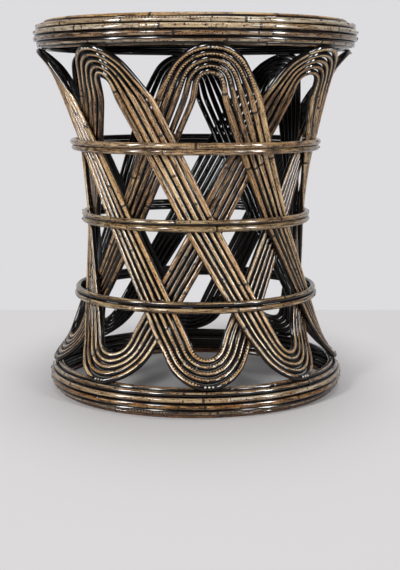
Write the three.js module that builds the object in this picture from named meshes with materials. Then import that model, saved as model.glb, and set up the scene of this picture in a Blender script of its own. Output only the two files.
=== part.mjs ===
// A mudda stool of bent rattan cane: a waisted lattice of twenty closed loops of cane, three double
// hoops round it, a rounded rim of stacked cane rings at each end, and a flat seat wound from one cane.
// Units are millimetres, +Z is up, and the stool stands on z = 0 with its axis on the Z axis.

import * as THREE from "three";

// Cane stock
const CANE_DIAMETER = 7;
const CANE_CLEARANCE = 0.25; // between canes bent side by side
const LAYER_CLEARANCE = 0.3; // between canes that cross or rest on each other
const JOINT_GAP = 0.4; // between the two cut ends of one cane

// Rims: the widest ring of the base, and how far the top rim stands out beyond it
const BASE_RADIUS = 190;
const TOP_OVERHANG = 14;

// Lattice
const WICKER_COUNT = 8;
const CANES_PER_WICKER = 5;
const FRONT_AZIMUTH = 4.9; // degrees, of the wicker that faces the front
const CROSSING_LEAD = 0.6; // degrees by which the arms cross above the waist

// The bends, measured to the middle of the innermost cane of a wicker
const BASE_BEND_RADIUS = 21;
const TOP_BEND_RADIUS = 17;
const TOP_BEND_HEIGHT = 388;

// Each wicker is bent and placed by hand, so each is turned a little from its even place, in degrees
const BASE_TURNS = [0, -4, -4, -2, -1, 1, 0, 1];
const TOP_TURNS = [0.5, 1.5, 0, 0, 0, 0, 0, 1];

// Seat
const POLE_DIAMETER = 12.5; // the thicker cane of the winding and its bars
const WINDING_CLEARANCE = 0.8; // between turns of the winding
const SEAT_BAR_SPACING = 92;

// Share of the base's radius, to the middle of the lattice's two layers
const WAIST_SHARE = 0.695;

// Shares of the height of the top bends
const WAIST_HEIGHT_SHARE = 0.552;
const SPREAD_SHARE = 0.583; // over which the lattice widens by the root of two
const UPPER_TWIST_SHARE = 0.652; // the upper arms turn more slowly than they widen
const FLARE_SHARE = 0.126; // over which the lattice flares out on to a rim
const LOWER_HOOP_SHARE = 0.326; // to the middle of each pair of hoops
const MIDDLE_HOOP_SHARE = 0.5735;
const UPPER_HOOP_SHARE = 0.808;

// Shares of the sizes that they follow
const FLANK_SHARE = 0.93; // half the width of a cane's section
const SHOULDER_SHARE = 0.35; // half the height of its flat flanks
const BEND_RISE_SHARE = 0.91; // height of a bend against its width, because the lattice leans
const BASE_BEND_END_SHARE = 8 / 9; // of a quarter turn, where a bend meets its arms
const TOP_BEND_END_SHARE = 0.71; // the top bends take up the arms at their own lean
const STEP_IN_SHARE = 0.85; // of a turn of the winding, where it begins to step in

// Steps of the faceted forms
const RING_STEPS = 28;
const BEND_STEPS = 6;
const BAR_SIDES = 12;
const TURN_STEPS = 20;

const degrees = THREE.MathUtils.degToRad;
const caneRadius = CANE_DIAMETER / 2;
const canePitch = CANE_DIAMETER + CANE_CLEARANCE;
const layerPitch = CANE_DIAMETER + LAYER_CLEARANCE;
const wickerAngle = (2 * Math.PI) / WICKER_COUNT;
const armSpan = WICKER_COUNT / 4; // wickers from an arm's bottom bend to its top bend
const waistRadius = BASE_RADIUS * WAIST_SHARE;
const waistHeight = TOP_BEND_HEIGHT * WAIST_HEIGHT_SHARE;
const spreadHeight = TOP_BEND_HEIGHT * SPREAD_SHARE;
const upperTwistHeight = TOP_BEND_HEIGHT * UPPER_TWIST_SHARE;
const flareHeight = TOP_BEND_HEIGHT * FLARE_SHARE;

const colours = { cane: 0x6f5233, hoop: 0x7d6040, rim: 0x6a4c2c, seat: 0x80633f, bar: 0x3a2a1c };

function finish(name) {
  return new THREE.MeshStandardMaterial({ color: colours[name], roughness: 0.42, metalness: 0 });
}

// A point on the stool from its azimuth (0 faces the front, rising to the right), radius and height
function place(azimuth, radius, height) {
  return new THREE.Vector3(radius * Math.sin(azimuth), -radius * Math.cos(azimuth), height);
}

// A cane's path through points worked out beforehand, with the way its crown faces at each
class CanePath extends THREE.Curve {
  constructor(points, crowns) {
    super();
    this.points = points;
    this.crowns = crowns;
  }

  getSpacedPoints() {
    return this.points;
  }

  computeFrenetFrames() {
    const frames = { tangents: [], normals: [], binormals: [] };
    this.points.forEach((point, i) => {
      const before = this.points[Math.max(i - 1, 0)];
      const after = this.points[Math.min(i + 1, this.points.length - 1)];
      const tangent = after.clone().sub(before).normalize();
      const normal = this.crowns[i].clone();
      normal.addScaledVector(tangent, -normal.dot(tangent)).normalize();
      frames.tangents.push(tangent);
      frames.normals.push(normal);
      frames.binormals.push(new THREE.Vector3().crossVectors(tangent, normal));
    });
    return frames;
  }
}

// A section with a corner outwards and inwards, and a flat on each side
function flankedSection(radius) {
  const flank = radius * FLANK_SHARE;
  const shoulder = radius * SHOULDER_SHARE;
  return new THREE.Shape([
    new THREE.Vector2(radius, 0),
    new THREE.Vector2(shoulder, flank),
    new THREE.Vector2(-shoulder, flank),
    new THREE.Vector2(-radius, 0),
    new THREE.Vector2(-shoulder, -flank),
    new THREE.Vector2(shoulder, -flank),
  ]);
}

// A six-sided section with a corner at the given angle from the outward direction
function ringSection(cornerAngle) {
  const corners = [];
  for (let i = 0; i < 6; i++) {
    const angle = cornerAngle + (i * Math.PI) / 3;
    corners.push(new THREE.Vector2(caneRadius * Math.cos(angle), caneRadius * Math.sin(angle)));
  }
  return new THREE.Shape(corners);
}

function sweep(name, section, points, crowns, material) {
  const geometry = new THREE.ExtrudeGeometry(section, {
    steps: points.length - 1,
    bevelEnabled: false,
    extrudePath: new CanePath(points, crowns),
  });
  const mesh = new THREE.Mesh(geometry, material);
  mesh.name = name;
  return mesh;
}

// Rim profiles. Each ring is laid on the one before at its own angle, so that the edge is round.

// Angles in degrees from straight outwards, from the lowest ring to the innermost on top
const STACKING_ANGLES = [48, 68, 88, 122, 150];

function rimProfile(rimRadius) {
  const bottom = { radius: 0, height: caneRadius * Math.cos(Math.PI / 6), corner: 0 };
  const rings = [bottom];
  STACKING_ANGLES.forEach((angle) => {
    const last = rings[rings.length - 1];
    const turn = degrees(angle);
    if (last !== bottom) last.corner = turn;
    rings.push({
      radius: last.radius + canePitch * Math.cos(turn),
      height: last.height + canePitch * Math.sin(turn),
      corner: degrees(30),
    });
  });
  const widest = Math.max(...rings.map((ring) => ring.radius));
  rings.forEach((ring) => {
    ring.radius += rimRadius - caneRadius - widest;
  });
  return rings;
}

// Where the outermost cane of a wicker beds between the last two rings of a rim
function saddle(rings) {
  const inner = rings[rings.length - 1];
  const outer = rings[rings.length - 2];
  const seating = layerPitch + CANE_CLEARANCE;
  const across = new THREE.Vector2(outer.radius - inner.radius, outer.height - inner.height);
  const rise = Math.sqrt(seating ** 2 - (across.length() / 2) ** 2);
  const away = new THREE.Vector2(-across.y, across.x).normalize();
  return {
    radius: (inner.radius + outer.radius) / 2 + away.x * rise,
    height: (inner.height + outer.height) / 2 + away.y * rise,
  };
}

const baseRim = rimProfile(BASE_RADIUS);
const topRim = rimProfile(BASE_RADIUS + TOP_OVERHANG);
const baseSeat = saddle(baseRim);
const topSeat = saddle(topRim);

// The lattice's nested bends at each end
function bendRadius(end, cane) {
  return end.innerRadius + cane * canePitch;
}

const lastCane = CANES_PER_WICKER - 1;
const quarterTurn = Math.PI / 2;
const baseEnd = { innerRadius: BASE_BEND_RADIUS, side: -1, turns: BASE_TURNS };
const topEnd = { innerRadius: TOP_BEND_RADIUS, side: 1, turns: TOP_TURNS };
baseEnd.reach = quarterTurn * BASE_BEND_END_SHARE;
topEnd.reach = quarterTurn * TOP_BEND_END_SHARE;
baseEnd.centre = baseSeat.height + bendRadius(baseEnd, lastCane) * BEND_RISE_SHARE;
topEnd.centre = TOP_BEND_HEIGHT;

const latticeTop = topEnd.centre + bendRadius(topEnd, lastCane) * BEND_RISE_SHARE;
const stoolHeight = latticeTop + topSeat.height;

// The middle of the two layers, without the flare at the rims
function waistedRadius(height) {
  return waistRadius * Math.hypot(1, (height - waistHeight) / spreadHeight);
}

const baseFlare = {
  rise: baseSeat.radius - waistedRadius(baseSeat.height),
  start: baseSeat.height + flareHeight,
};
const topFlare = {
  rise: topSeat.radius - waistedRadius(latticeTop),
  start: latticeTop - flareHeight,
};

function latticeRadius(height) {
  const low = Math.max(baseFlare.start - height, 0) / flareHeight;
  const high = Math.max(height - topFlare.start, 0) / flareHeight;
  return waistedRadius(height) + baseFlare.rise * low ** 2 + topFlare.rise * high ** 2;
}

// Radius of a cane's middle: layer is 1 in the outer layer, -1 in the inner one
function layerRadius(height, layer) {
  return latticeRadius(height) * (1 + (layer * layerPitch) / (2 * waistRadius));
}

// How fast a radius grows with height
function slopeAt(radiusAt, height) {
  return (radiusAt(height + caneRadius) - radiusAt(height - caneRadius)) / CANE_DIAMETER;
}

// The way the lattice's surface faces at a height
function latticeCrown(azimuth, height) {
  return place(azimuth, 1, -slopeAt(latticeRadius, height)).normalize();
}

// Azimuth from a wicker's middle to the middle of its arm
function armAzimuth(height) {
  const rise = height - waistHeight;
  const twist = rise > 0 ? upperTwistHeight : spreadHeight;
  return wickerAngle - degrees(CROSSING_LEAD) + Math.atan(rise / twist);
}

// Azimuth from one cane of an arm to the next: side by side below the waist, fanning out above it.
// A further turn of the arm for each millimetre of height leans it more, so it needs more room.
function fanAzimuth(height, furtherTurn) {
  const level = Math.min(height, waistHeight);
  const rise = (level - waistHeight) / spreadHeight;
  const radius = layerRadius(level, -1);
  const across = radius / spreadHeight / (1 + rise ** 2) + radius * furtherTurn;
  const along = (radius * rise) / spreadHeight / (1 + rise ** 2);
  const lean = Math.hypot(1, along) / Math.hypot(1, along, across);
  return layerPitch / (radius * lean);
}

// One cane of a loop. It runs round a bottom bend from left to right, up the inner layer to a top
// bend two wickers on, down the outer layer to the next bottom bend, and so on until it closes.
function bendStations(end, wicker, cane) {
  const stations = [];
  const radius = bendRadius(end, cane);
  const turn = degrees(end.turns[wicker % WICKER_COUNT]);
  for (let i = 0; i <= BEND_STEPS; i++) {
    const angle = end.reach * ((2 * i) / BEND_STEPS - 1);
    const height = end.centre + end.side * radius * Math.cos(angle) * BEND_RISE_SHARE;
    const layer = (end.side * Math.sin(angle)) / Math.sin(end.reach);
    const spread = (radius * Math.sin(angle)) / layerRadius(height, layer);
    const azimuth = wicker * wickerAngle + turn + spread;
    stations.push({ azimuth, height, layer });
  }
  return stations;
}

// The arm from a bottom bend's right side up to a top bend's left side, or its mirror image
function armStations(wicker, cane, way) {
  const lowest = baseEnd.centre + layerPitch;
  const highest = topEnd.centre - TOP_BEND_RADIUS;
  const heights = [lowest, waistHeight, (highest + waistHeight) / 2, highest];
  const count = WICKER_COUNT;
  const baseTurn = degrees(baseEnd.turns[wicker % count]);
  const topTurn = degrees(topEnd.turns[(wicker + way * armSpan + count) % count]);
  const turning = (topTurn - baseTurn) / (highest - lowest);
  return heights.map((height) => {
    const fan = fanAzimuth(height, way * turning);
    const spread = armAzimuth(height) + (cane - lastCane / 2) * fan;
    const turn = baseTurn + turning * (height - lowest);
    return { azimuth: wicker * wickerAngle + turn + way * spread, height, layer: -way };
  });
}

function loopStations(firstWicker, cane) {
  const stations = [];
  for (const start of [firstWicker, firstWicker + 2 * armSpan]) {
    const next = start + 2 * armSpan;
    stations.push(...bendStations(baseEnd, start, cane));
    stations.push(...armStations(start, cane, 1));
    stations.push(...bendStations(topEnd, start + armSpan, lastCane - cane));
    stations.push(...armStations(next, cane, -1).reverse());
  }
  return stations;
}

function stationPoint(station) {
  const azimuth = degrees(FRONT_AZIMUTH) + station.azimuth;
  return place(azimuth, layerRadius(station.height, station.layer), station.height);
}

function stationCrown(station) {
  return latticeCrown(degrees(FRONT_AZIMUTH) + station.azimuth, station.height);
}

// Draws a closed path's ends apart, so that the cane's cut ends meet with the joint's gap
function openPath(points) {
  const last = points.length - 1;
  const first = points[1].clone().sub(points[0]).setLength(JOINT_GAP / 2);
  const final = points[last - 1].clone().sub(points[last]).setLength(JOINT_GAP / 2);
  points[0] = points[0].clone().add(first);
  points[last] = points[last].clone().add(final);
  return points;
}

// Bend steps at which the canes of a wicker are cut, staggered by hand
const JOINT_STEPS = [4, 2, 1, 3, 4];

function latticeCane(firstWicker, cane) {
  const stations = loopStations(firstWicker, cane);
  const cut = JOINT_STEPS[cane];
  const turned = [...stations.slice(cut), ...stations.slice(0, cut + 1)];
  const points = openPath(turned.map(stationPoint));
  const crowns = turned.map(stationCrown);
  const setName = "abcd"[firstWicker];
  const name = `lattice_${setName}_cane_${cane + 1}`;
  return sweep(name, flankedSection(caneRadius), points, crowns, finish("cane"));
}

// A cane bent round into a ring, with its joint at one of its steps
function ring(name, radius, height, corner, jointStep, material) {
  const points = [];
  const crowns = [];
  for (let i = 0; i <= RING_STEPS; i++) {
    const azimuth = degrees(FRONT_AZIMUTH) + ((i + jointStep) * 2 * Math.PI) / RING_STEPS;
    points.push(place(azimuth, radius, height));
    crowns.push(place(azimuth, 1, 0));
  }
  return sweep(name, ringSection(corner), openPath(points), crowns, material);
}

const stool = new THREE.Group();

for (let firstWicker = 0; firstWicker < WICKER_COUNT / 2; firstWicker++) {
  for (let cane = 0; cane < CANES_PER_WICKER; cane++) {
    stool.add(latticeCane(firstWicker, cane));
  }
}

// Base and top rims. The seat takes the place of the top rim's last ring.
const RIM_JOINT_STEPS = [27, 14, 25, 1, 19, 2];

baseRim.forEach((item, i) => {
  const name = `base_ring_${baseRim.length - i}`;
  stool.add(ring(name, item.radius, item.height, item.corner, RIM_JOINT_STEPS[i], finish("rim")));
});
topRim.slice(1).forEach((item, i) => {
  const name = `top_ring_${topRim.length - 1 - i}`;
  const height = stoolHeight - item.height;
  const joint = RIM_JOINT_STEPS[i] + RING_STEPS / 2;
  stool.add(ring(name, item.radius, height, -item.corner, joint, finish("rim")));
});

// Hoops: the upper cane of each pair and the lower one, drawn tight on the outer layer
const HOOP_JOINT_STEPS = { lower: [25, 12], middle: [0, 1], upper: [27, 7] };

const hoopHeights = {
  lower: TOP_BEND_HEIGHT * LOWER_HOOP_SHARE,
  middle: TOP_BEND_HEIGHT * MIDDLE_HOOP_SHARE,
  upper: TOP_BEND_HEIGHT * UPPER_HOOP_SHARE,
};

function hoopRadius(height) {
  const slope = slopeAt((level) => layerRadius(level, 1), height);
  const clear = layerRadius(height, 1) + layerPitch * Math.hypot(1, slope);
  return clear / Math.cos(Math.PI / RING_STEPS);
}

Object.entries(hoopHeights).forEach(([name, middle]) => {
  ["bottom", "top"].forEach((level, i) => {
    const height = middle + (i - 0.5) * canePitch;
    const joint = HOOP_JOINT_STEPS[name][i];
    const node = `${name}_hoop_${level}`;
    stool.add(ring(node, hoopRadius(height), height, Math.PI / 2, joint, finish("hoop")));
  });
});

// Seat: one long cane wound flat inside the top rim, level with it
const poleRadius = POLE_DIAMETER / 2;
const poleFlank = poleRadius * FLANK_SHARE;
const windingPitch = POLE_DIAMETER + WINDING_CLEARANCE;
const windingHeight = stoolHeight - poleFlank;
const [, rimAbove, rimBeside] = topRim;
const rimReach = caneRadius + poleRadius + LAYER_CLEARANCE;
const rimInset = Math.sqrt(rimReach ** 2 - (rimAbove.height - poleFlank) ** 2);
const windingRadius = rimAbove.radius * Math.cos(Math.PI / RING_STEPS) - rimInset;
const innermost = poleRadius + WINDING_CLEARANCE + caneRadius; // its end bends round a small open eye
const windingSteps = Math.floor(((windingRadius - innermost) / windingPitch) * TURN_STEPS);
const windingTurns = windingSteps / TURN_STEPS;

// The outer turns run level with the rim and then step in by one cane, the inner ones spiral evenly
function windingInset(turns) {
  const share = turns - Math.floor(turns);
  const stepped = THREE.MathUtils.smoothstep(share, STEP_IN_SHARE, 1);
  const inset = THREE.MathUtils.lerp(stepped, share, turns / windingTurns);
  return (Math.floor(turns) + inset) * windingPitch;
}

const windingPoints = [];
const windingCrowns = [];
for (let i = 0; i <= windingSteps; i++) {
  const turns = i / TURN_STEPS;
  const azimuth = degrees(FRONT_AZIMUTH) + (turns + 1 / 2) * 2 * Math.PI;
  windingPoints.push(place(azimuth, windingRadius - windingInset(turns), windingHeight));
  windingCrowns.push(place(azimuth, 1, 0));
}

const winding = flankedSection(poleRadius);
stool.add(sweep("seat_deck", winding, windingPoints, windingCrowns, finish("seat")));

// The least gap between turns, from each station to the steps half a turn or more away
let leastGap = windingRadius;
windingPoints.forEach((point, i) => {
  windingPoints.slice(1).forEach((end, k) => {
    if (Math.abs(k - i) < TURN_STEPS / 2) return;
    const step = new THREE.Line3(windingPoints[k], end);
    const nearest = step.closestPointToPoint(point, true, new THREE.Vector3());
    leastGap = Math.min(leastGap, nearest.distanceTo(point) - POLE_DIAMETER);
  });
});
console.log(`seat_deck: ${windingTurns} turns, least gap to itself ${leastGap.toFixed(2)} mm`);

// Seat bars: three poles under the winding, whose ends meet the rim's fourth ring
const barHeight = stoolHeight - 2 * poleFlank - LAYER_CLEARANCE - poleRadius;
const rimClear = (rimBeside.radius - caneRadius) * Math.cos(Math.PI / RING_STEPS);
const barReach = rimClear - LAYER_CLEARANCE;
[-1, 0, 1].forEach((side, i) => {
  const offset = side * SEAT_BAR_SPACING;
  const length = 2 * Math.sqrt(barReach ** 2 - (Math.abs(offset) + poleRadius) ** 2);
  const bar = new THREE.Mesh(
    new THREE.CylinderGeometry(poleRadius, poleRadius, length, BAR_SIDES),
    finish("bar"),
  );
  bar.rotation.z = Math.PI / 2;
  bar.position.set(0, offset, barHeight);
  bar.name = `seat_bar_${i + 1}`;
  stool.add(bar);
});

export default stool;
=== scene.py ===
import math
import random

import bmesh
import bpy
import numpy
from mathutils import Matrix, Vector


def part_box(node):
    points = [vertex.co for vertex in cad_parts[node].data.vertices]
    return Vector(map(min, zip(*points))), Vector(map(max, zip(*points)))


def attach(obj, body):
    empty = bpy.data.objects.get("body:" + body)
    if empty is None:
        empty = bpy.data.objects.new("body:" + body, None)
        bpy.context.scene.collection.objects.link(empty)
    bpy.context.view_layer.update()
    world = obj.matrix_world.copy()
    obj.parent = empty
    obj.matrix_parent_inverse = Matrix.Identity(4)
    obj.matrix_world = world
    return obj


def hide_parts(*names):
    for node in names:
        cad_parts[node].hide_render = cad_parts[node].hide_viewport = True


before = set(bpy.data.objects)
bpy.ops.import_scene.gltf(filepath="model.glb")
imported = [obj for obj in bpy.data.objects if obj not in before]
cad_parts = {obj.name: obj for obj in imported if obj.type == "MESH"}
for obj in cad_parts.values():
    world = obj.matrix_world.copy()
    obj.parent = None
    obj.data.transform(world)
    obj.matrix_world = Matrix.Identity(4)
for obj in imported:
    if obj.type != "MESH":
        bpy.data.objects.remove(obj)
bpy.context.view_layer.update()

# Base rim. Six rings of bent rattan cane, stacked at a changing angle so that the edge is round.
# Each is one length of cane, steamed and bent round a former, butted end to end and tacked to the
# ring below.
MM = 0.001
CANE = 7.2 * MM
CANE_SIDES = 16
CANE_STEP = 4 * MM
END_CHAMFER = 0.35 * MM
JOINT_GAP = 0.5 * MM
NEAREST_TO_JOINT = 1.5 * MM
KNOT_SPACING = (0.09, 0.2)
KNOT_FROM_JOINT = 0.02
KNOT_STATIONS = [d * MM for d in (-5.0, -2.4, -1.2, -0.6, 0.0, 0.6, 1.2, 2.4, 5.0)]
KNOT_CLEARING = 6.5 * MM
KNOT_SWELLING = 0.055
KNOT_WIDTH = 2.0 * MM
PATTERN_LENGTH = 40
TONE_SPREAD = 0.6


def place(azimuth, radius, height):
    """A point of the stool. Azimuth 0 faces the front and rises to the right."""
    return Vector((radius * math.sin(azimuth), -radius * math.cos(azimuth), height))


def azimuth_of(point):
    return math.atan2(point.x, -point.y)


def paint(code):
    """A colour from its hex code, as the shader's own linear values."""
    parts = [int(code[i : i + 2], 16) / 255 for i in (0, 2, 4)]
    return [p / 12.92 if p <= 0.04045 else ((p + 0.055) / 1.055) ** 2.4 for p in parts] + [1.0]


def lengths_along(route):
    """How far along a route each of its points lies."""
    steps = numpy.linalg.norm(numpy.diff(route, axis=0), axis=1)
    return numpy.concatenate([[0], numpy.cumsum(steps)])


def points_along(route, gone, stops):
    """The points of a route at the given distances along it."""
    return numpy.stack([numpy.interp(stops, gone, route[:, i]) for i in range(3)], axis=1)


def cane_stations(route, hand):
    """Where the cane's section is drawn: along its whole length, closer at its knots and ends."""
    gone = lengths_along(route)
    length = gone[-1]
    knots = []
    at = hand.uniform(KNOT_FROM_JOINT, KNOT_SPACING[1])
    while at < length - KNOT_FROM_JOINT:
        knots.append(at)
        at += hand.uniform(*KNOT_SPACING)
    stops = [d for d in gone[1:-1] if all(abs(d - knot) > KNOT_CLEARING for knot in knots)]
    stops += [knot + step for knot in knots for step in KNOT_STATIONS]
    stops = [d for d in stops if NEAREST_TO_JOINT < d < length - NEAREST_TO_JOINT]
    for inset in (JOINT_GAP / 2, JOINT_GAP / 2 + END_CHAMFER):
        stops += [inset, length - inset]
    stops = numpy.array(sorted(stops))
    swell = numpy.zeros(len(stops))
    for knot in knots:
        swell = numpy.maximum(swell, numpy.exp(-(((stops - knot) / KNOT_WIDTH) ** 2)))
    return stops, points_along(route, gone, stops), swell


def settle(shape, name):
    """Makes a finished shape an object of the scene, at the stool's origin."""
    mesh = bpy.data.meshes.new(name)
    shape.to_mesh(mesh)
    shape.free()
    piece = bpy.data.objects.new(name, mesh)
    bpy.context.collection.objects.link(piece)
    return piece


def bend_cane(name, points, crown_at, mark_at, hand, diameter=CANE, sides=CANE_SIDES):
    """One length of cane: a sheet rolled round the route, its crown turned to crown_at, and capped.

    mark_at gives for a point how much the cane is crimped, how wide its crown is rubbed bare, and
    how much grime is left on it.
    """
    route = numpy.array([list(point) for point in points])
    stops, middles, swell = cane_stations(route, hand)
    tone = hand.random()
    start = hand.uniform(0, PATTERN_LENGTH)
    last = len(stops) - 1
    sections = []
    for i, stop in enumerate(stops):
        point = Vector(middles[i])
        tangent = Vector(middles[min(i + 1, last)] - middles[max(i - 1, 0)]).normalized()
        crown = crown_at(point)
        crown = (crown - tangent * crown.dot(tangent)).normalized()
        size = diameter / 2 * (1 + KNOT_SWELLING * swell[i])
        if i in (0, last):
            size -= END_CHAMFER
        crimp, bare, grime = mark_at(point)
        marks = (swell[i], crimp, bare), TONE_SPREAD * tone + grime
        sections.append((point, crown, tangent.cross(crown), size, start + stop, marks))
    cane = bmesh.new()
    lay = cane.verts.layers.float_vector.new("lay")
    mark = cane.verts.layers.float_vector.new("mark")
    dim = cane.verts.layers.float.new("grime")
    bmesh.ops.create_grid(cane, x_segments=last, y_segments=sides, size=0.5)
    for vert in cane.verts:
        point, crown, side, size, along, marks = sections[round((vert.co.x + 0.5) * last)]
        angle = 2 * math.pi * (round((vert.co.y + 0.5) * sides) % sides) / sides
        up, across = math.cos(angle), math.sin(angle)
        vert.co = point + (crown * up + side * across) * size
        vert[lay] = (along, up, across)
        vert[mark], vert[dim] = marks
    bmesh.ops.remove_doubles(cane, verts=cane.verts, dist=0.001 * MM)
    ends = [e for e in cane.edges if e.is_boundary]
    caps = bmesh.ops.holes_fill(cane, edges=ends, sides=0)["faces"]
    for face in cane.faces:
        face.smooth = True
    for face in caps:
        face.smooth = False
        for edge in face.edges:
            edge.smooth = False
    bmesh.ops.recalc_face_normals(cane, faces=cane.faces)
    return settle(cane, name)


def link(tree, value, socket):
    """Sets a socket from a number, a colour or another node's output."""
    if isinstance(value, bpy.types.NodeSocket):
        tree.links.new(value, socket)
    else:
        socket.default_value = value


def calculate(tree, operation, *values):
    node = tree.nodes.new("ShaderNodeMath")
    node.operation = operation
    for value, socket in zip(values, node.inputs):
        link(tree, value, socket)
    return node.outputs[0]


def ease(tree, value, low, high, to_low=0.0, to_high=1.0):
    """A soft step of a value from low to high."""
    node = tree.nodes.new("ShaderNodeMapRange")
    node.interpolation_type = "SMOOTHSTEP"
    for amount, socket in zip((value, low, high, to_low, to_high), node.inputs):
        link(tree, amount, socket)
    return node.outputs[0]


def blend(tree, share, first, second, kind="MIX"):
    """Two colours mixed by a share. The Mix node's colour sockets are its seventh and eighth."""
    node = tree.nodes.new("ShaderNodeMix")
    node.data_type = "RGBA"
    node.blend_type = kind
    link(tree, share, node.inputs["Factor"])
    link(tree, first, node.inputs[6])
    link(tree, second, node.inputs[7])
    return node.outputs[2]


def grain(tree, vector, scale, detail=2.0, roughness=0.5):
    node = tree.nodes.new("ShaderNodeTexNoise")
    link(tree, vector, node.inputs["Vector"])
    link(tree, scale, node.inputs["Scale"])
    link(tree, detail, node.inputs["Detail"])
    link(tree, roughness, node.inputs["Roughness"])
    return node.outputs["Fac"]


def stretched(tree, vector, along, around):
    """A vector with its first part multiplied by along and its two others by around."""
    node = tree.nodes.new("ShaderNodeVectorMath")
    node.operation = "MULTIPLY"
    link(tree, vector, node.inputs[0])
    node.inputs[1].default_value = (along, around, around)
    return node.outputs[0]


def bump(tree, height, strength, distance):
    node = tree.nodes.new("ShaderNodeBump")
    node.inputs["Strength"].default_value = strength
    node.inputs["Distance"].default_value = distance
    tree.links.new(height, node.inputs["Height"])
    return node.outputs["Normal"]


# The cane's patterns, each by its features for a metre of length and round the section, its detail
# and its roughness
STREAKS = (12, 2.8, 3.0, 0.5)
FIBRES = (90, 9.0, 3.0, 0.6)
PATCHES = (30, 1.1, 3.0, 0.6)
SPECKS = (480, 3.4, 1.0, 0.5)
DRIFT = (9, 0.5, 1.0, 0.5)
TINTS = (2.6, 0.3, 1.0, 0.5)
DRAWN_LINES = (5, 5.5, 2.0, 0.5)
SMUDGES = (60, 2.6, 4.0, 0.65)

# Where on its pattern each mark begins and is full, and, where it isn't 0 to 1, its strength there
PALE_STREAKS = (0.4, 0.68)
WARM_STRETCHES = (0.38, 0.6, 0.0, 0.6)
BROWN_PATCHES = (0.5, 0.68)
BROWN_LINES = (0.56, 0.66, 0.0, 0.8)
DIRTY_FIBRES = (0.58, 0.8, 0.0, 0.7)
STAINED_FIBRES = (0.5, 0.8, 0.0, 0.4)
PITS = (0.56, 0.61)
PITTED_PATCHES = (0.4, 0.5, 0.0, 0.95)
KNOT_RINGS = (0.35, 0.7, 0.0, 0.92)
DARK_SMUDGES = (0.6, 0.68, 0.0, 0.9)
NOTCHES = (-0.05, 0.15)

# How much more of a mark grime brings, and how far the marks' edges stray and soften
GRIMED_LINES = 0.12
GRIMED_SMUDGES = 0.14
GRIMED_PATCHES = 0.16
GRIMED_FIBRES = 0.2
EDGE_WANDERS = 0.3
EDGE_FRAYS = 0.1
EDGE_SOFTNESS = 0.07
SCORCHED_WIDTH = 0.2
KNOT_FRAYS = 0.25
CRIMP_PITCH = 3.8 * MM
CRIMP_WANDERS = 0.6
CRIMP_SOFTNESS = 0.03

# What a pattern is multiplied by, and what is then added: the crimps' depth and the roughness
CRIMP_DEPTH = (1.3, -0.7)
ROUGHNESS = (0.3, 0.35)
FIBRE_RELIEF = 0.14
LINE_RELIEF = 0.35
DARK_RELIEF = 0.7
WARM_TINT = "F8DCB4"
DIRT = "533620"
PIT = "0A0705"
STAIN = "0B0603"
STAINED_BROWN = "301B0C"
SCORCHED = "4A321C"


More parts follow.
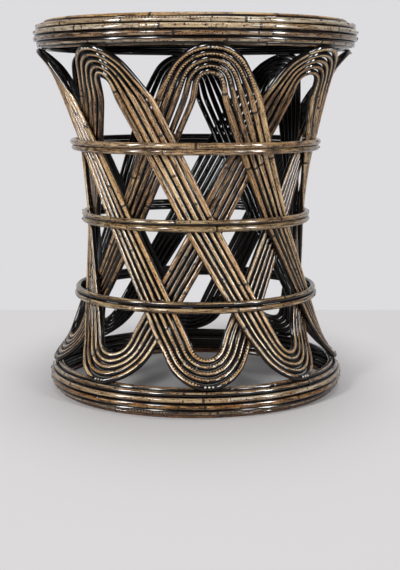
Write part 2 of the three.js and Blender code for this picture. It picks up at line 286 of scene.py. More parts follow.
def antiqued_cane_group():
    """Rattan cane stained nearly black, rubbed back to straw on its crown, and lacquered."""
    tree = bpy.data.node_groups.new("antiqued_cane", "ShaderNodeTree")
    for name, way, kind in (
        ("Straw", "INPUT", "NodeSocketColor"),
        ("Pale straw", "INPUT", "NodeSocketColor"),
        ("Patch", "INPUT", "NodeSocketColor"),
        ("Patchiness", "INPUT", "NodeSocketFloat"),
        ("Colour", "OUTPUT", "NodeSocketColor"),
        ("Roughness", "OUTPUT", "NodeSocketFloat"),
        ("Height", "OUTPUT", "NodeSocketFloat"),
    ):
        tree.interface.new_socket(name, in_out=way, socket_type=kind)
    given = tree.nodes.new("NodeGroupInput").outputs
    result = tree.nodes.new("NodeGroupOutput").inputs

    def attribute(name):
        node = tree.nodes.new("ShaderNodeAttribute")
        node.attribute_name = name
        return node.outputs

    def parts(vector):
        node = tree.nodes.new("ShaderNodeSeparateXYZ")
        tree.links.new(vector, node.inputs[0])
        return node.outputs

    lay = attribute("lay")["Vector"]
    along, crown, side = parts(lay)
    knot, crimp, bare = parts(attribute("mark")["Vector"])
    grime = attribute("grime")["Fac"]

    def figure(lengthways, around, detail, roughness):
        """A pattern laid out on the cane's surface."""
        return grain(tree, stretched(tree, lay, lengthways, around), 1.0, detail, roughness)

    def shift(pattern, reach):
        """A pattern as a shift of up to reach either way."""
        return calculate(tree, "MULTIPLY_ADD", pattern, 2 * reach, -reach)

    def grimed(pattern, share):
        """A pattern that is raised where grime is left."""
        return calculate(tree, "MULTIPLY_ADD", grime, share, pattern)

    streak = figure(*STREAKS)
    fibre = figure(*FIBRES)
    patch = figure(*PATCHES)
    drawn = grimed(figure(*DRAWN_LINES), GRIMED_LINES)
    smudge = grimed(figure(*SMUDGES), GRIMED_SMUDGES)

    # How far round from the crown, 0 on it, 1 on the flanks and 2 at the back, and so from the edge
    # of what is rubbed bare
    back = calculate(tree, "MAXIMUM", calculate(tree, "MULTIPLY", crown, -2.0), 0.0)
    across = calculate(tree, "ADD", calculate(tree, "ABSOLUTE", side), back)
    from_edge = calculate(tree, "SUBTRACT", across, bare)
    wandering = shift(figure(*DRIFT), EDGE_WANDERS)
    uneven = calculate(tree, "ADD", wandering, shift(fibre, EDGE_FRAYS))
    from_edge = calculate(tree, "ADD", from_edge, uneven)
    rubbed = ease(tree, from_edge, EDGE_SOFTNESS, -EDGE_SOFTNESS)
    scorched = ease(tree, from_edge, SCORCHED_WIDTH, 0.0)

    # Bare straw: pale streaks, a warm tint that comes and goes, brown patches and lines, and dirt
    pale = ease(tree, streak, *PALE_STREAKS)
    straw = blend(tree, pale, given["Straw"], given["Pale straw"])
    warm = ease(tree, figure(*TINTS), *WARM_STRETCHES)
    straw = blend(tree, warm, straw, paint(WARM_TINT), "MULTIPLY")
    brown = ease(tree, grimed(patch, GRIMED_PATCHES), *BROWN_PATCHES)
    brown = calculate(tree, "MULTIPLY", brown, given["Patchiness"])
    straw = blend(tree, brown, straw, given["Patch"])
    straw = blend(tree, ease(tree, drawn, *BROWN_LINES), straw, given["Patch"])
    dirt = ease(tree, grimed(fibre, GRIMED_FIBRES), *DIRTY_FIBRES)
    straw = blend(tree, dirt, straw, paint(DIRT))

    # Pits and worm marks, the dark ring of each knot, and smudges
    pits = ease(tree, figure(*SPECKS), *PITS)
    pits = calculate(tree, "MULTIPLY", pits, ease(tree, patch, *PITTED_PATCHES))
    ring = ease(tree, calculate(tree, "ADD", knot, shift(fibre, KNOT_FRAYS)), *KNOT_RINGS)
    dark = calculate(tree, "MAXIMUM", pits, ring)
    dark = calculate(tree, "MAXIMUM", dark, ease(tree, smudge, *DARK_SMUDGES))

    # The crimps of a tight bend: a row of notches that run in from the inner side of the bend. A
    # base bend's crimps are positive and on the side above it, a top bend's are negative and on the
    # side below it.
    wave = calculate(tree, "SINE", calculate(tree, "MULTIPLY", along, 2 * math.pi / CRIMP_PITCH))
    wave = calculate(tree, "ADD", wave, shift(streak, CRIMP_WANDERS))
    facing = calculate(tree, "MULTIPLY", calculate(tree, "SIGN", crimp), -1.0)
    inner = calculate(tree, "MULTIPLY", facing, side)
    depth = calculate(tree, "MULTIPLY_ADD", patch, *CRIMP_DEPTH)
    run_in = calculate(tree, "SUBTRACT", inner, depth)
    notch = ease(tree, run_in, -CRIMP_SOFTNESS, CRIMP_SOFTNESS)
    notch = calculate(tree, "MULTIPLY", notch, ease(tree, wave, *NOTCHES))
    notch = calculate(tree, "MULTIPLY", notch, calculate(tree, "ABSOLUTE", crimp))
    dark = calculate(tree, "MAXIMUM", dark, notch)

    # Stain in the grooves, browner along its fibres and where it meets the straw
    groove = ease(tree, fibre, *STAINED_FIBRES)
    groove = blend(tree, groove, paint(STAIN), paint(STAINED_BROWN))
    groove = blend(tree, scorched, groove, paint(SCORCHED))
    colour = blend(tree, rubbed, groove, straw)
    colour = blend(tree, dark, colour, paint(PIT))
    tree.links.new(colour, result["Colour"])

    rough = calculate(tree, "MULTIPLY_ADD", streak, *ROUGHNESS)
    tree.links.new(rough, result["Roughness"])
    relief = calculate(tree, "MULTIPLY", drawn, LINE_RELIEF)
    relief = calculate(tree, "MULTIPLY_ADD", fibre, FIBRE_RELIEF, relief)
    sunken = calculate(tree, "MULTIPLY", dark, DARK_RELIEF)
    relief = calculate(tree, "SUBTRACT", relief, sunken)
    tree.links.new(relief, result["Height"])
    return tree


cane_group = antiqued_cane_group()


def new_finish(name):
    """An empty material, with its nodes and its shader."""
    material = bpy.data.materials.new(name)
    material.use_nodes = True
    tree = material.node_tree
    return material, tree, tree.nodes["Principled BSDF"]


RELIEF_STRENGTH = 0.4
RELIEF_DEPTH = 0.25 * MM
LACQUER_IOR = 1.5
UNDER_LACQUER = 0.05


def cane_finish(name, straw, pale_straw, patch, patchiness, coat=1.0, lacquer=0.08):
    """A lacquered cane material from the group, with its own colours, patchiness and lacquer."""
    material, tree, shader = new_finish(name)
    group = tree.nodes.new("ShaderNodeGroup")
    group.node_tree = cane_group
    group.inputs["Straw"].default_value = paint(straw)
    group.inputs["Pale straw"].default_value = paint(pale_straw)
    group.inputs["Patch"].default_value = paint(patch)
    group.inputs["Patchiness"].default_value = patchiness
    normal = bump(tree, group.outputs["Height"], RELIEF_STRENGTH, RELIEF_DEPTH)
    tree.links.new(group.outputs["Colour"], shader.inputs["Base Color"])
    tree.links.new(group.outputs["Roughness"], shader.inputs["Roughness"])
    tree.links.new(normal, shader.inputs["Normal"])
    shader.inputs["Coat Weight"].default_value = coat
    shader.inputs["Coat Roughness"].default_value = lacquer
    shader.inputs["Coat IOR"].default_value = LACQUER_IOR
    shader.inputs["Specular IOR Level"].default_value = UNDER_LACQUER
    return material


def fit(piece, slot, material, *nodes):
    """Puts a finished piece on the stool in place of the plain solids that it stands for."""
    piece.data.materials.append(material)
    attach(piece, "root")
    if nodes:
        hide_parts(*nodes)


# The plain solids' canes are six-sided and 7 mm thick, and lie a little apart. The lowest ring
# stands on a flat side of its section.
SOLID_RADIUS = 3.5 * MM
SOLID_FLAT = SOLID_RADIUS * math.cos(math.pi / 6)
RING_PITCH = 7.25 * MM
STACKING = [48, 68, 88, 122, 150]
BASE_RADIUS = 190 * MM


def rim_rings(rim_radius):
    """The radius and height of each ring's middle, from the lowest to the innermost on top."""
    rings = [(0.0, SOLID_FLAT)]
    for angle in STACKING:
        radius, height = rings[-1]
        turn = math.radians(angle)
        rings.append((radius + RING_PITCH * math.cos(turn), height + RING_PITCH * math.sin(turn)))
    widest = max(radius for radius, _ in rings)
    shift = rim_radius - SOLID_RADIUS - widest
    return [(radius + shift, height) for radius, height in rings]


CRIMPED_STRETCHES = 3
CRIMP_PHASE = 2.6
SWAYS = 3


def ring_cane(name, radius, height, crown_angle, joint, hand, marks, sway=0.0):
    """A cane bent round into a ring, its ends butted at the joint. Sway bends it out of true."""
    phase = [hand.uniform(0, 2 * math.pi) for _ in range(SWAYS)]
    points = []
    count = round(2 * math.pi * radius / CANE_STEP)
    for i in range(count + 1):
        azimuth = math.radians(joint) + i * 2 * math.pi / count
        waves = sum(math.sin((k + 1) * azimuth + phase[k]) / (k + 1) for k in range(SWAYS))
        lift = sway / 2 * waves
        points.append(place(azimuth, radius + lift, height + lift))
    turn = math.radians(crown_angle)
    crimp, bare, grime = marks

    def crown_at(point):
        return place(azimuth_of(point), math.cos(turn), math.sin(turn))

    def mark_at(point):
        stretch = math.sin(CRIMPED_STRETCHES * azimuth_of(point) + CRIMP_PHASE)
        return crimp * max(stretch, 0), bare, grime

    return bend_cane(name, points, crown_at, mark_at, hand)


rim_finish = cane_finish("antiqued_rim_cane", "A1957E", "C8BDA6", "855A2C", 0.8, 1.0, 0.14)
orange_rim_finish = cane_finish("orange_rim_cane", "A8905F", "C4B08A", "96601F", 1.0, 1.0, 0.14)
# The lowest ring, down at the floor, gets its own dark brown straw. This is partly the cane's own
# brown and partly painted shade for the shadow it lies in.
brown_and_shaded_rim_finish = cane_finish("brown_and_shaded_rim_cane", "4A3424", "6A5038", "7E5434", 0.6)
RIM_FINISHES = [brown_and_shaded_rim_finish, rim_finish, orange_rim_finish] + [rim_finish] * 3
RIM_CROWNS = [-42, -32, -12, 15, 46, 62]
RIM_JOINTS = [-12, 182, -38, 12.5, 248, 31]
RIM_BARE = [2.2, 0.42, 0.66, 0.64, 0.44, 0.38]
RIM_CRIMPS = [0, 1, 0, 0, 0, 0.5]
RING_GRIME = 0.2
base_rings = rim_rings(BASE_RADIUS)
hand = random.Random(6)

for i, (radius, height) in enumerate(base_rings):
    number = len(base_rings) - i
    marks = (RIM_CRIMPS[i], RIM_BARE[i], RING_GRIME)
    name = f"base_rim_cane_{number}"
    ring = ring_cane(name, radius, height, RIM_CROWNS[i], RIM_JOINTS[i], hand, marks)
    fit(ring, "rim", RIM_FINISHES[i], f"base_ring_{number}")

# Rim tacks. Small domed nail heads of blued steel, driven in at uneven steps through the rings of
# the base rim, each into the ring next to it.
TACK_RADIUS = 1.15 * MM
TACK_DOME = 0.6
TACK_SIDES = 10
TACK_STEPS = 6
TACK_SPACING = 11
UNEVEN_SPACING = (0.6, 1.4)
TACK_TILT = 0.35
TACKED_RINGS = [1, 2, 3, 4]
RUST_SCALE = 60.0
RUSTED = (0.45, 0.65)
WEAR_SCALE = 900.0
WEAR_ROUGHNESS = (0.4, 0.2)
WEAR_STRENGTH = 0.3
WEAR_DEPTH = 0.05 * MM


def tacks(name, places, radius):
    """Nail heads, one at each point, each facing the way given with it."""
    heads = bmesh.new()
    flat = Matrix.Diagonal((1, 1, TACK_DOME, 1))
    for point, facing in places:
        turned = facing.to_track_quat("Z", "Y").to_matrix().to_4x4()
        spot = Matrix.Translation(point) @ turned @ flat
        bmesh.ops.create_uvsphere(
            heads, u_segments=TACK_SIDES, v_segments=TACK_STEPS, radius=radius, matrix=spot
        )
    for face in heads.faces:
        face.smooth = True
    return settle(heads, name)


def ring_tacks(radius, height, crown_angle, hand):
    """Where the tacks along a ring go: at uneven steps, each through its crown."""
    turn = math.radians(crown_angle)
    places = []
    azimuth = hand.uniform(0, TACK_SPACING)
    while azimuth < 360:
        tilt = turn + hand.uniform(-TACK_TILT, TACK_TILT)
        facing = place(math.radians(azimuth), math.cos(tilt), math.sin(tilt))
        middle = place(math.radians(azimuth), radius, height)
        places.append((middle + facing * (CANE / 2), facing))
        azimuth += TACK_SPACING * hand.uniform(*UNEVEN_SPACING)
    return places


def steel_finish(name, steel, rusted, metal):
    """Nail steel, rusted a little from one head to the next."""
    material, tree, shader = new_finish(name)
    spot = tree.nodes.new("ShaderNodeTexCoord").outputs["Object"]
    rust = ease(tree, grain(tree, spot, RUST_SCALE), *RUSTED)
    worn = grain(tree, spot, WEAR_SCALE, 3.0)
    rough = calculate(tree, "MULTIPLY_ADD", worn, *WEAR_ROUGHNESS)
    tree.links.new(blend(tree, rust, paint(steel), paint(rusted)), shader.inputs["Base Color"])
    tree.links.new(rough, shader.inputs["Roughness"])
    tree.links.new(bump(tree, worn, WEAR_STRENGTH, WEAR_DEPTH), shader.inputs["Normal"])
    shader.inputs["Metallic"].default_value = metal
    return material


tack_finish = steel_finish("blued_steel", "141315", "2E1C12", 0.8)
hand = random.Random(9)
places = []
for i in TACKED_RINGS:
    places += ring_tacks(*base_rings[i], RIM_CROWNS[i], hand)
fit(tacks("base_rim_tacks", places, TACK_RADIUS), None, tack_finish)

# Lattice. Twenty rattan canes in four sets of five, each steamed and bent into one closed loop.
# Five lie side by side up an arm, turn back in nested bends on the rims, called wickers here, and
# cross the other arms inside or outside them.
FRONT = math.radians(4.9)
WAIST_RADIUS = 132 * MM
WAIST_HEIGHT = 214 * MM
SPREAD_HEIGHT = 226 * MM
UPPER_TWIST_HEIGHT = 253 * MM
LAYER_PITCH = 7.3 * MM
SEATING_GAP = 0.25 * MM
CROSSING_LEAD = math.radians(0.6)
FLARE_HEIGHT = 49 * MM
WICKERS = 8
CANES = 5
WICKER_ANGLE = 2 * math.pi / WICKERS
BEND_RISE = 0.91
QUARTER_TURN = math.pi / 2
BEND_STEPS = 24
BEND_EASINGS = 6
TOP_RADIUS = 204 * MM
base_end = {
    "radius": 21 * MM,
    "side": -1,
    "reach": QUARTER_TURN * 8 / 9,
    "turns": [0, -4, -4, -2, -1, 1, 0, 1],
}
top_end = {
    "radius": 17 * MM,
    "side": 1,
    "reach": QUARTER_TURN * 0.71,
    "turns": [0.5, 1.5, 0, 0, 0, 0, 0, 1],
    "centre": 388 * MM,
}


def saddle(rings):
    """Where the outermost cane of a wicker beds between the last two rings of a rim."""
    inner = Vector(rings[-1])
    outer = Vector(rings[-2])
    across = outer - inner
    seating = LAYER_PITCH + SEATING_GAP
    rise = math.sqrt(seating**2 - (across.length / 2) ** 2)
    return (inner + outer) / 2 + Vector((-across.y, across.x)).normalized() * rise


def bend_radius(end, cane):
    return end["radius"] + cane * RING_PITCH


base_seat = saddle(base_rings)
top_seat = saddle(rim_rings(TOP_RADIUS))
base_end["centre"] = base_seat.y + bend_radius(base_end, CANES - 1) * BEND_RISE
lattice_top = top_end["centre"] + bend_radius(top_end, CANES - 1) * BEND_RISE
STOOL_HEIGHT = lattice_top + top_seat.y


def waisted_radius(height):
    return WAIST_RADIUS * math.hypot(1, (height - WAIST_HEIGHT) / SPREAD_HEIGHT)


base_flare = base_seat.x - waisted_radius(base_seat.y)
top_flare = top_seat.x - waisted_radius(lattice_top)


def lattice_radius(height):
    """The radius between the lattice's two layers: waisted, and flared to its beds at both ends."""
    low = max(base_seat.y + FLARE_HEIGHT - height, 0) / FLARE_HEIGHT
    high = max(height - lattice_top + FLARE_HEIGHT, 0) / FLARE_HEIGHT
    return waisted_radius(height) + base_flare * low**2 + top_flare * high**2


def layer_radius(height, layer):
    """The radius of a layer's canes. The layer is 1 outside, -1 inside and 0 in the rims' beds."""
    return lattice_radius(height) * (1 + layer * LAYER_PITCH / (2 * WAIST_RADIUS))


def lattice_crown(point):
    slope = (lattice_radius(point.z + MM) - lattice_radius(point.z - MM)) / (2 * MM)
    return place(azimuth_of(point), 1, -slope).normalized()


def bend_points(end, wicker, cane):
    """A cane's way round its bend, from one layer to the other."""
    points = []
    radius = bend_radius(end, cane)
    turn = math.radians(end["turns"][wicker % WICKERS])
    for i in range(BEND_STEPS + 1):
        angle = end["reach"] * (2 * i / BEND_STEPS - 1)
        height = end["centre"] + end["side"] * radius * math.cos(angle) * BEND_RISE
        layer = end["side"] * math.sin(angle) / math.sin(end["reach"])
        across = layer_radius(height, layer)
        azimuth = FRONT + wicker * WICKER_ANGLE + turn + radius * math.sin(angle) / across
        points.append(place(azimuth, across, height))
    return points


def fan_angle(height, further_turn):
    """The turn from one cane of an arm to the next."""
    level = min(height, WAIST_HEIGHT)
    rise = (level - WAIST_HEIGHT) / SPREAD_HEIGHT
    radius = layer_radius(level, -1)
    across = radius / SPREAD_HEIGHT / (1 + rise**2) + radius * further_turn
    along = radius * rise / SPREAD_HEIGHT / (1 + rise**2)
    lean = math.hypot(1, along) / math.hypot(1, along, across)
    return LAYER_PITCH / (radius * lean)


ARM_LOWEST = base_end["centre"] + LAYER_PITCH
ARM_HIGHEST = top_end["centre"] - top_end["radius"]
ARM_LEVELS = (ARM_LOWEST, WAIST_HEIGHT, (ARM_HIGHEST + WAIST_HEIGHT) / 2, ARM_HIGHEST)


def arm_azimuth(wicker, cane, way, height):
    """Where a cane of an arm is at a height. Its way is 1 if it rises to the right, else -1."""
    base_turn = math.radians(base_end["turns"][wicker % WICKERS])
    top_turn = math.radians(top_end["turns"][(wicker + way * 2) % WICKERS])
    turning = (top_turn - base_turn) / (ARM_HIGHEST - ARM_LOWEST)
    rise = height - WAIST_HEIGHT
    twist = UPPER_TWIST_HEIGHT if rise > 0 else SPREAD_HEIGHT
    spread = WICKER_ANGLE - CROSSING_LEAD + math.atan(rise / twist)
    spread += (cane - (CANES - 1) / 2) * fan_angle(height, way * turning)
    turn = base_turn + turning * (height - ARM_LOWEST)
    return FRONT + wicker * WICKER_ANGLE + turn + way * spread


def arm_points(wicker, cane, way):
    return [
        place(arm_azimuth(wicker, cane, way, height), layer_radius(height, -way), height)
        for height in ARM_LEVELS
    ]


def loop_points(first, cane):
    """A cane's whole loop: two base bends, two top bends and the four arms between them."""
    points = []
    for start in (first, first + WICKERS // 2):
        points += bend_points(base_end, start, cane)
        points += arm_points(start, cane, 1)
        points += bend_points(top_end, start + 2, CANES - 1 - cane)
        points += arm_points(start + WICKERS // 2, cane, -1)[::-1]
    return points


def closed_route(points):
    """A loop at even steps, its corners eased as a bent cane eases them, and its ends met."""
    route = numpy.array([list(point) for point in points + points[:1]])
    gone = lengths_along(route)
    count = round(gone[-1] / CANE_STEP)
    route = points_along(route, gone, numpy.linspace(0, gone[-1], count + 1))[:-1]
    for _ in range(BEND_EASINGS):
        route = (numpy.roll(route, 1, axis=0) + 2 * route + numpy.roll(route, -1, axis=0)) / 4
    return numpy.vstack([route, route[:1]])


# Heights between which a lattice cane's marks change, and how wide it is rubbed bare there
BASE_BEND = (0.105, 0.07)
BASE_CRIMPS = (0.098, 0.076)
TOP_BEND = (0.37, 0.395)
RAISED_ARM = (0.1, 0.24)
UPPER_ARM = (0.235, 0.305)
RIM_BED = (base_seat.y + 3.2 * MM, base_seat.y + 1.0 * MM)
ARM_BARE = 0.33
RAISED_BARE = 0.16
UPPER_BARE = 0.34
UNDER_BARE = -0.04
BEND_BARE = 0.33
OWN_BARE = [0.26, -0.06, 0.02, -0.1, 0.24]
OWN_BARE_IN_BEND = 0.26
STAINED_IN_BED = 0.6
UNDER_GRIME = 0.55
UPPER_GRIME = 0.25
CRIMPED = [1, 0.45, 0.8, 0.5, 0.9, 0.6, 0.75, 0.5]


def way_between(value, start, end):
    """How far a value is on its way from start to end, held between 0 and 1."""
    return min(max((value - start) / (end - start), 0), 1)


def lattice_marks(cane):
    """A lattice cane's marks: crimped in its bends, barest up its arms and on a band's sides."""
    own = OWN_BARE[cane]

    def marks(point):
        wicker = round((azimuth_of(point) - FRONT) / WICKER_ANGLE) % WICKERS
        low_crimp = way_between(point.z, *BASE_CRIMPS)
        high = way_between(point.z, *TOP_BEND)
        bend = max(way_between(point.z, *BASE_BEND), high)
        raised = way_between(point.z, *RAISED_ARM)
        upper = way_between(point.z, *UPPER_ARM)
        middle = lattice_radius(point.z)
        half_layer = middle * LAYER_PITCH / (2 * WAIST_RADIUS)
        under = way_between((math.hypot(point.x, point.y) - middle) / half_layer, 1, -1)
        bare = ARM_BARE + RAISED_BARE * raised + UPPER_BARE * upper + own + UNDER_BARE * under
        bare += (BEND_BARE + OWN_BARE_IN_BEND * own - bare) * bend
        if cane == CANES - 1:
            bare -= STAINED_IN_BED * way_between(point.z, *RIM_BED)
        grime = (UNDER_GRIME * under + UPPER_GRIME * upper) * (1 - bend)
        return (low_crimp - high) * CRIMPED[wicker], bare, grime

    return marks


# Each loop's butted joint lies in its first base bend, after so many of its steps
LATTICE_JOINTS = [16, 8, 4, 12, 16]
lattice_finish = cane_finish("antiqued_lattice_cane", "C0A074", "E6D2AC", "8C6442", 0.65, 0.9)
hand = random.Random(20)

for first in range(WICKERS // 2):
    for cane in range(CANES):
        points = loop_points(first, cane)
        joint = LATTICE_JOINTS[cane]
        route = closed_route(points[joint:] + points[:joint])
        name = f"{'abcd'[first]}_cane_{cane + 1}"
        piece = bend_cane(f"bent_{name}", route, lattice_crown, lattice_marks(cane), hand)
        fit(piece, "cane", lattice_finish, f"lattice_{name}")

# Foot tacks. Three bright steel tacks at the foot of each wicker, driven through its outermost cane
# into the rim that it beds in. Their heads are pale and only partly metal, which paints in their
# glint.
FOOT_TACKS = [-4.6 * MM, 0.0, 4.4 * MM]
FOOT_TACK_RADIUS = 1.4 * MM
FOOT_TACK_LEAN = 0.12
# A pale steel colour at a low metal share: the steel's own colour, plus a painted glint that makes
# the heads show pale under any lamp.
foot_steel_and_glint_finish = steel_finish("bright_steel_and_painted_glint", "BCB8B0", "8C7C66", 0.35)


def foot_tacks(end):
    """Where the outermost bend of each wicker lies on the rim, for the tacks that hold it there."""
    places = []
    height = end["centre"] + end["side"] * bend_radius(end, CANES - 1) * BEND_RISE
    radius = layer_radius(height, 0)
    for wicker in range(WICKERS):
        azimuth = FRONT + wicker * WICKER_ANGLE + math.radians(end["turns"][wicker])
        for shift in FOOT_TACKS:
            turned = azimuth + shift / radius
            crown = lattice_crown(place(turned, 1, height))
            facing = (crown + Vector((0, 0, FOOT_TACK_LEAN * end["side"]))).normalized()
            places.append((place(turned, radius, height) + facing * (CANE / 2), facing))
    return places


fit(tacks("base_foot_tacks", foot_tacks(base_end), FOOT_TACK_RADIUS), None, foot_steel_and_glint_finish)
fit(tacks("top_foot_tacks", foot_tacks(top_end), FOOT_TACK_RADIUS), None, foot_steel_and_glint_finish)

# Hoops. Three pairs of rattan rings drawn tight round the lattice, one pair at the waist and one
# above and below it. They hold the arms together and are tacked to the outer layer where they
# cross it.
HOOPS = {"lower": 126.5 * MM, "middle": 222.5 * MM, "upper": 313.5 * MM}
HOOP_JOINTS = {"lower": [-29, 164], "middle": [-50, 21.5], "upper": [-14, 95]}
HOOP_CROWNS = {"lower": [8, 42], "middle": [4, 30], "upper": [0, 24]}
HOOP_BARE = {"lower": [0.66, 0.46], "middle": [0.86, 0.66], "upper": [1.08, 1.0]}
HOOP_SWAY = 0.25 * MM
HOOP_TACKED = [0.6, 2.9]
HOOP_TACK_DRIFT = 0.3
hoop_finish = cane_finish("antiqued_hoop_cane", "A8926C", "C4B08A", "6B4F33", 0.85, 0.9, 0.13)
rubbed_finish = cane_finish("rubbed_hoop_cane", "BA9F78", "D0BA98", "8E6A48", 0.5, 1.0, 0.13)
HOOP_FINISHES = {"lower": hoop_finish, "middle": hoop_finish, "upper": rubbed_finish}
hand = random.Random(3)


def hoop_radius(height):
    slope = (layer_radius(height + MM, 1) - layer_radius(height - MM, 1)) / (2 * MM)
    return layer_radius(height, 1) + LAYER_PITCH * math.hypot(1, slope)


def hoop_height(pair, i):
    return HOOPS[pair] + (i - 0.5) * RING_PITCH


for pair in HOOPS:
    for i, level in enumerate(("bottom", "top")):
        name = f"{pair}_hoop_cane_{level}"
        height = hoop_height(pair, i)
        crown, joint = HOOP_CROWNS[pair][i], HOOP_JOINTS[pair][i]
        marks = (0.0, HOOP_BARE[pair][i], RING_GRIME)
        ring = ring_cane(name, hoop_radius(height), height, crown, joint, hand, marks, HOOP_SWAY)
        fit(ring, "hoop", HOOP_FINISHES[pair], f"{pair}_hoop_{level}")

hand = random.Random(8)
places = []
for pair in HOOPS:
    for i, tacked in enumerate(HOOP_TACKED):
        height = hoop_height(pair, i)
        turn = math.radians(HOOP_CROWNS[pair][i])
        for wicker in range(WICKERS):
            cane = tacked + hand.uniform(-HOOP_TACK_DRIFT, HOOP_TACK_DRIFT)
            azimuth = arm_azimuth(wicker, cane, -1, height)
            facing = place(azimuth, math.cos(turn), math.sin(turn))
            middle = place(azimuth, hoop_radius(height), height)
            places.append((middle + facing * (CANE / 2), facing))
fit(tacks("hoop_tacks", places, TACK_RADIUS), None, tack_finish)

# Top rim. Five rings of rattan cane, bent and tacked as the base's are but stacked the other way
# up. The top bends bed under its two innermost rings, and the seat fills the place of its
# uppermost one.
TOP_CROWNS = [38, 14, -15, -46, -62]
TOP_BARE = [0.86, 0.7, 0.62, 0.46, 0.4]
TOP_JOINT_TURN = 160
top_rings = rim_rings(TOP_RADIUS)
hand = random.Random(5)

for i, (radius, height) in enumerate(top_rings[1:]):
    number = len(top_rings) - 1 - i
    joint = RIM_JOINTS[i] + TOP_JOINT_TURN
    marks = (RIM_CRIMPS[i + 1], TOP_BARE[i], RING_GRIME)
    name = f"top_rim_cane_{number}"
    ring = ring_cane(name, radius, STOOL_HEIGHT - height, TOP_CROWNS[i], joint, hand, marks)
    fit(ring, "rim", rim_finish, f"top_ring_{number}")

hand = random.Random(12)
places = []
for i in TACKED_RINGS:
    radius, height = top_rings[i]
    places += ring_tacks(radius, STOOL_HEIGHT - height, TOP_CROWNS[i - 1], hand)
fit(tacks("top_rim_tacks", places, TACK_RADIUS), None, tack_finish)

# Seat bars. Three straight poles of thicker rattan across the top rim, tacked through it from
# outside. The seat is nailed down on them.
POLE = 12.5 * MM
BAR_SIDES = 20
BAR_MARKS = (0.0, 0.4, 0.5)
bar_finish = cane_finish("stained_bar_cane", "6B4A2A", "7A5836", "7E5434", 0.9, 0.3)
down = Vector((0, 0, -1))
hand = random.Random(14)

for number in (1, 2, 3):
    low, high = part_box(f"seat_bar_{number}")
    middle = (Vector(low) + Vector(high)) / 2
    count = round((high[0] - low[0]) / CANE_STEP)
    points = [[x, middle.y, middle.z] for x in numpy.linspace(low[0], high[0], count + 1)]
    name = f"seat_pole_{number}"
    pole = bend_cane(name, points, lambda p: down, lambda p: BAR_MARKS, hand, POLE, BAR_SIDES)
    fit(pole, "bar", bar_finish, f"seat_bar_{number}")

# Seat. One long pole of the thicker rattan, wound flat from the rim to the middle, turn against
# turn, and nailed down on the bars, so that the seat lies level with the rim.
WINDING_GAP = 0.8 * MM
WINDING_PITCH = POLE + WINDING_GAP
WINDING_SIDES = 14
WINDING_STEP = 1.3 * CANE_STEP
WINDING_MARKS = (0.0, 0.8, 0.3)
RIM_GAP = 0.3 * MM
TURN_STEPS = 20
STEP_IN = 0.85
# The flats of the plain solids: of their poles' sections, and of the steps that their rings go
# round in
POLE_FLANK = 0.93 * POLE / 2
RIM_STEPS = 28
RIM_FLAT = math.cos(math.pi / RIM_STEPS)
winding_height = STOOL_HEIGHT - POLE_FLANK
outer_radius, outer_depth = top_rings[1]
from_rim = SOLID_RADIUS + POLE / 2 + RIM_GAP
rim_inset = math.sqrt(from_rim**2 - (outer_depth - POLE_FLANK) ** 2)
winding_radius = outer_radius * RIM_FLAT - rim_inset
innermost = POLE / 2 + WINDING_GAP + SOLID_RADIUS
winding_turns = int((winding_radius - innermost) / WINDING_PITCH * TURN_STEPS) / TURN_STEPS
seat_finish = cane_finish("antiqued_seat_cane", "B0925F", "CDB384", "7E5434", 0.75, 0.4)
up = Vector((0, 0, 1))
hand = random.Random(1)


def winding_point(turns):
    """The winding's middle after so many turns. The outer ones follow the rim, then step in."""
    whole = math.floor(turns)
    share = turns - whole
    late = max(share - STEP_IN, 0) / (1 - STEP_IN)
    stepped = late * late * (3 - 2 * late)
    inset = stepped + (share - stepped) * turns / winding_turns
    radius = winding_radius - (whole + inset) * WINDING_PITCH
    return place(FRONT + (turns + 0.5) * 2 * math.pi, radius, winding_height)


points = []
turned = 0.0
while turned < winding_turns:
    points.append(winding_point(turned))
    radius = winding_radius - turned * WINDING_PITCH + POLE
    turned += WINDING_STEP / (2 * math.pi * radius)
points.append(winding_point(winding_turns))
seat = bend_cane(
    "seat_winding", points, lambda p: up, lambda p: WINDING_MARKS, hand, POLE, WINDING_SIDES
)
fit(seat, "seat", seat_finish, "seat_deck")

# Floor and light. A pale floor that ends at a plain wall, and soft light from both sides and above.
# The sheen lamps show only in the lacquer. None of this is part of the stool.
FLOOR_END = 0.52
FLOOR_WIDTH = 6.0
GLOW_STRETCH = (1.6, 0.85)
GLOW_REACH = (0.2, 0.5)
GLOW_SHARE = (0.02, 0.85)
WALL = "DDDCDE"
FILL = 0.25
ROOM_REACH = (0.05, 0.75)
ROOM_SHARE = (0.0, 0.9)


def mixed(tree, share, first, second):
    """Two shaders mixed by a share."""
    node = tree.nodes.new("ShaderNodeMixShader")
    for value, socket in zip((share, first, second), node.inputs):
        tree.links.new(value, socket)
    return node.outputs[0]


floor_shape = bmesh.new()
bmesh.ops.create_grid(floor_shape, x_segments=1, y_segments=1, size=FLOOR_WIDTH / 2)
to_wall = (0, FLOOR_END - FLOOR_WIDTH / 2, 0)
bmesh.ops.translate(floor_shape, verts=floor_shape.verts, vec=to_wall)
floor = settle(floor_shape, "floor")
floor_finish, tree, shader = new_finish("pale_floor")
shader.inputs["Base Color"].default_value = paint("C5C3C3")
shader.inputs["Roughness"].default_value = 0.8
shader.inputs["Specular IOR Level"].default_value = 0.05
glow = tree.nodes.new("ShaderNodeEmission")
glow.inputs["Color"].default_value = paint("DCDADB")
spot = tree.nodes.new("ShaderNodeTexCoord").outputs["Object"]
away = tree.nodes.new("ShaderNodeVectorMath")
away.operation = "LENGTH"
tree.links.new(stretched(tree, spot, *GLOW_STRETCH), away.inputs[0])
share = ease(tree, away.outputs["Value"], *GLOW_REACH, *GLOW_SHARE)
seen = tree.nodes.new("ShaderNodeLightPath").outputs["Is Camera Ray"]
share = calculate(tree, "MULTIPLY", seen, share)
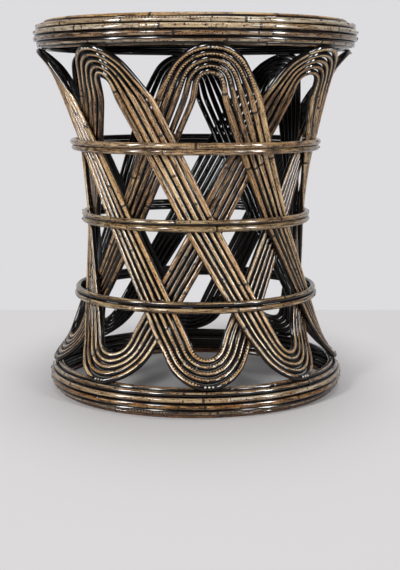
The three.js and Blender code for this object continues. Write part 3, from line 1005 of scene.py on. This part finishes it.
surface = mixed(tree, share, shader.outputs[0], glow.outputs[0])
tree.links.new(surface, tree.nodes["Material Output"].inputs["Surface"])
floor.data.materials.append(floor_finish)


def backdrop(tree, code, strength):
    node = tree.nodes.new("ShaderNodeBackground")
    node.inputs["Color"].default_value = paint(code)
    link(tree, strength, node.inputs["Strength"])
    return node.outputs[0]


world = bpy.data.worlds.new("studio")
bpy.context.scene.world = world
world.use_nodes = True
tree = world.node_tree
tree.nodes.clear()
rays = tree.nodes.new("ShaderNodeLightPath").outputs
seen = calculate(tree, "MAXIMUM", rays["Is Camera Ray"], rays["Is Transmission Ray"])
heading = tree.nodes.new("ShaderNodeSeparateXYZ")
tree.links.new(tree.nodes.new("ShaderNodeTexCoord").outputs["Generated"], heading.inputs[0])
wall = backdrop(tree, WALL, 1.0)
fill = backdrop(tree, "FFFFFF", FILL)
room = backdrop(tree, WALL, ease(tree, heading.outputs["Y"], *ROOM_REACH, *ROOM_SHARE))
studio = mixed(tree, seen, mixed(tree, rays["Is Glossy Ray"], fill, room), wall)
tree.links.new(studio, tree.nodes.new("ShaderNodeOutputWorld").inputs[0])


def softbox(name, place_at, look_at, width, height, power, glossy_only=False):
    lamp = bpy.data.lights.new(name, "AREA")
    lamp.shape = "RECTANGLE"
    lamp.size = width
    lamp.size_y = height
    lamp.energy = power
    thing = bpy.data.objects.new(name, lamp)
    thing.visible_diffuse = not glossy_only
    thing.location = place_at
    aim = Vector(look_at) - Vector(place_at)
    thing.rotation_euler = aim.to_track_quat("-Z", "Y").to_euler()
    bpy.context.collection.objects.link(thing)


softbox("left_softbox", (-1.25, -1.95, 1.35), (0, 0, 0.2), 0.34, 1.0, 44)
softbox("right_softbox", (1.5, -1.75, 1.0), (0, 0, 0.2), 0.3, 1.2, 22)
softbox("top_softbox", (0.1, -0.1, 2.4), (0, 0, 0), 1.4, 1.4, 23)
softbox("left_sheen", (-1.8, -1.15, 1.0), (0, 0, 0.25), 0.2, 1.4, 46, glossy_only=True)
softbox("right_sheen", (1.8, -1.15, 1.0), (0, 0, 0.25), 0.2, 1.4, 50, glossy_only=True)

# Camera. At the photograph's height and distance, looking down a little and turned a trace to the
# right. Its lens gives the photograph's frame.
LENS = 74.46
SENSOR_WIDTH = 36
CAMERA_DISTANCE = 1.5235
CAMERA_HEIGHT = 0.3779
LOOKING_DOWN = 9.268
TURNED_RIGHT = 0.2112
camera_data = bpy.data.cameras.new("camera")
camera_data.lens = LENS
camera_data.sensor_width = SENSOR_WIDTH
camera = bpy.data.objects.new("camera", camera_data)
camera.location = (0, -CAMERA_DISTANCE, CAMERA_HEIGHT)
camera.rotation_euler = (math.radians(90 - LOOKING_DOWN), 0, math.radians(-TURNED_RIGHT))
bpy.context.collection.objects.link(camera)
bpy.context.scene.camera = camera
bpy.context.scene.view_settings.view_transform = "Standard"
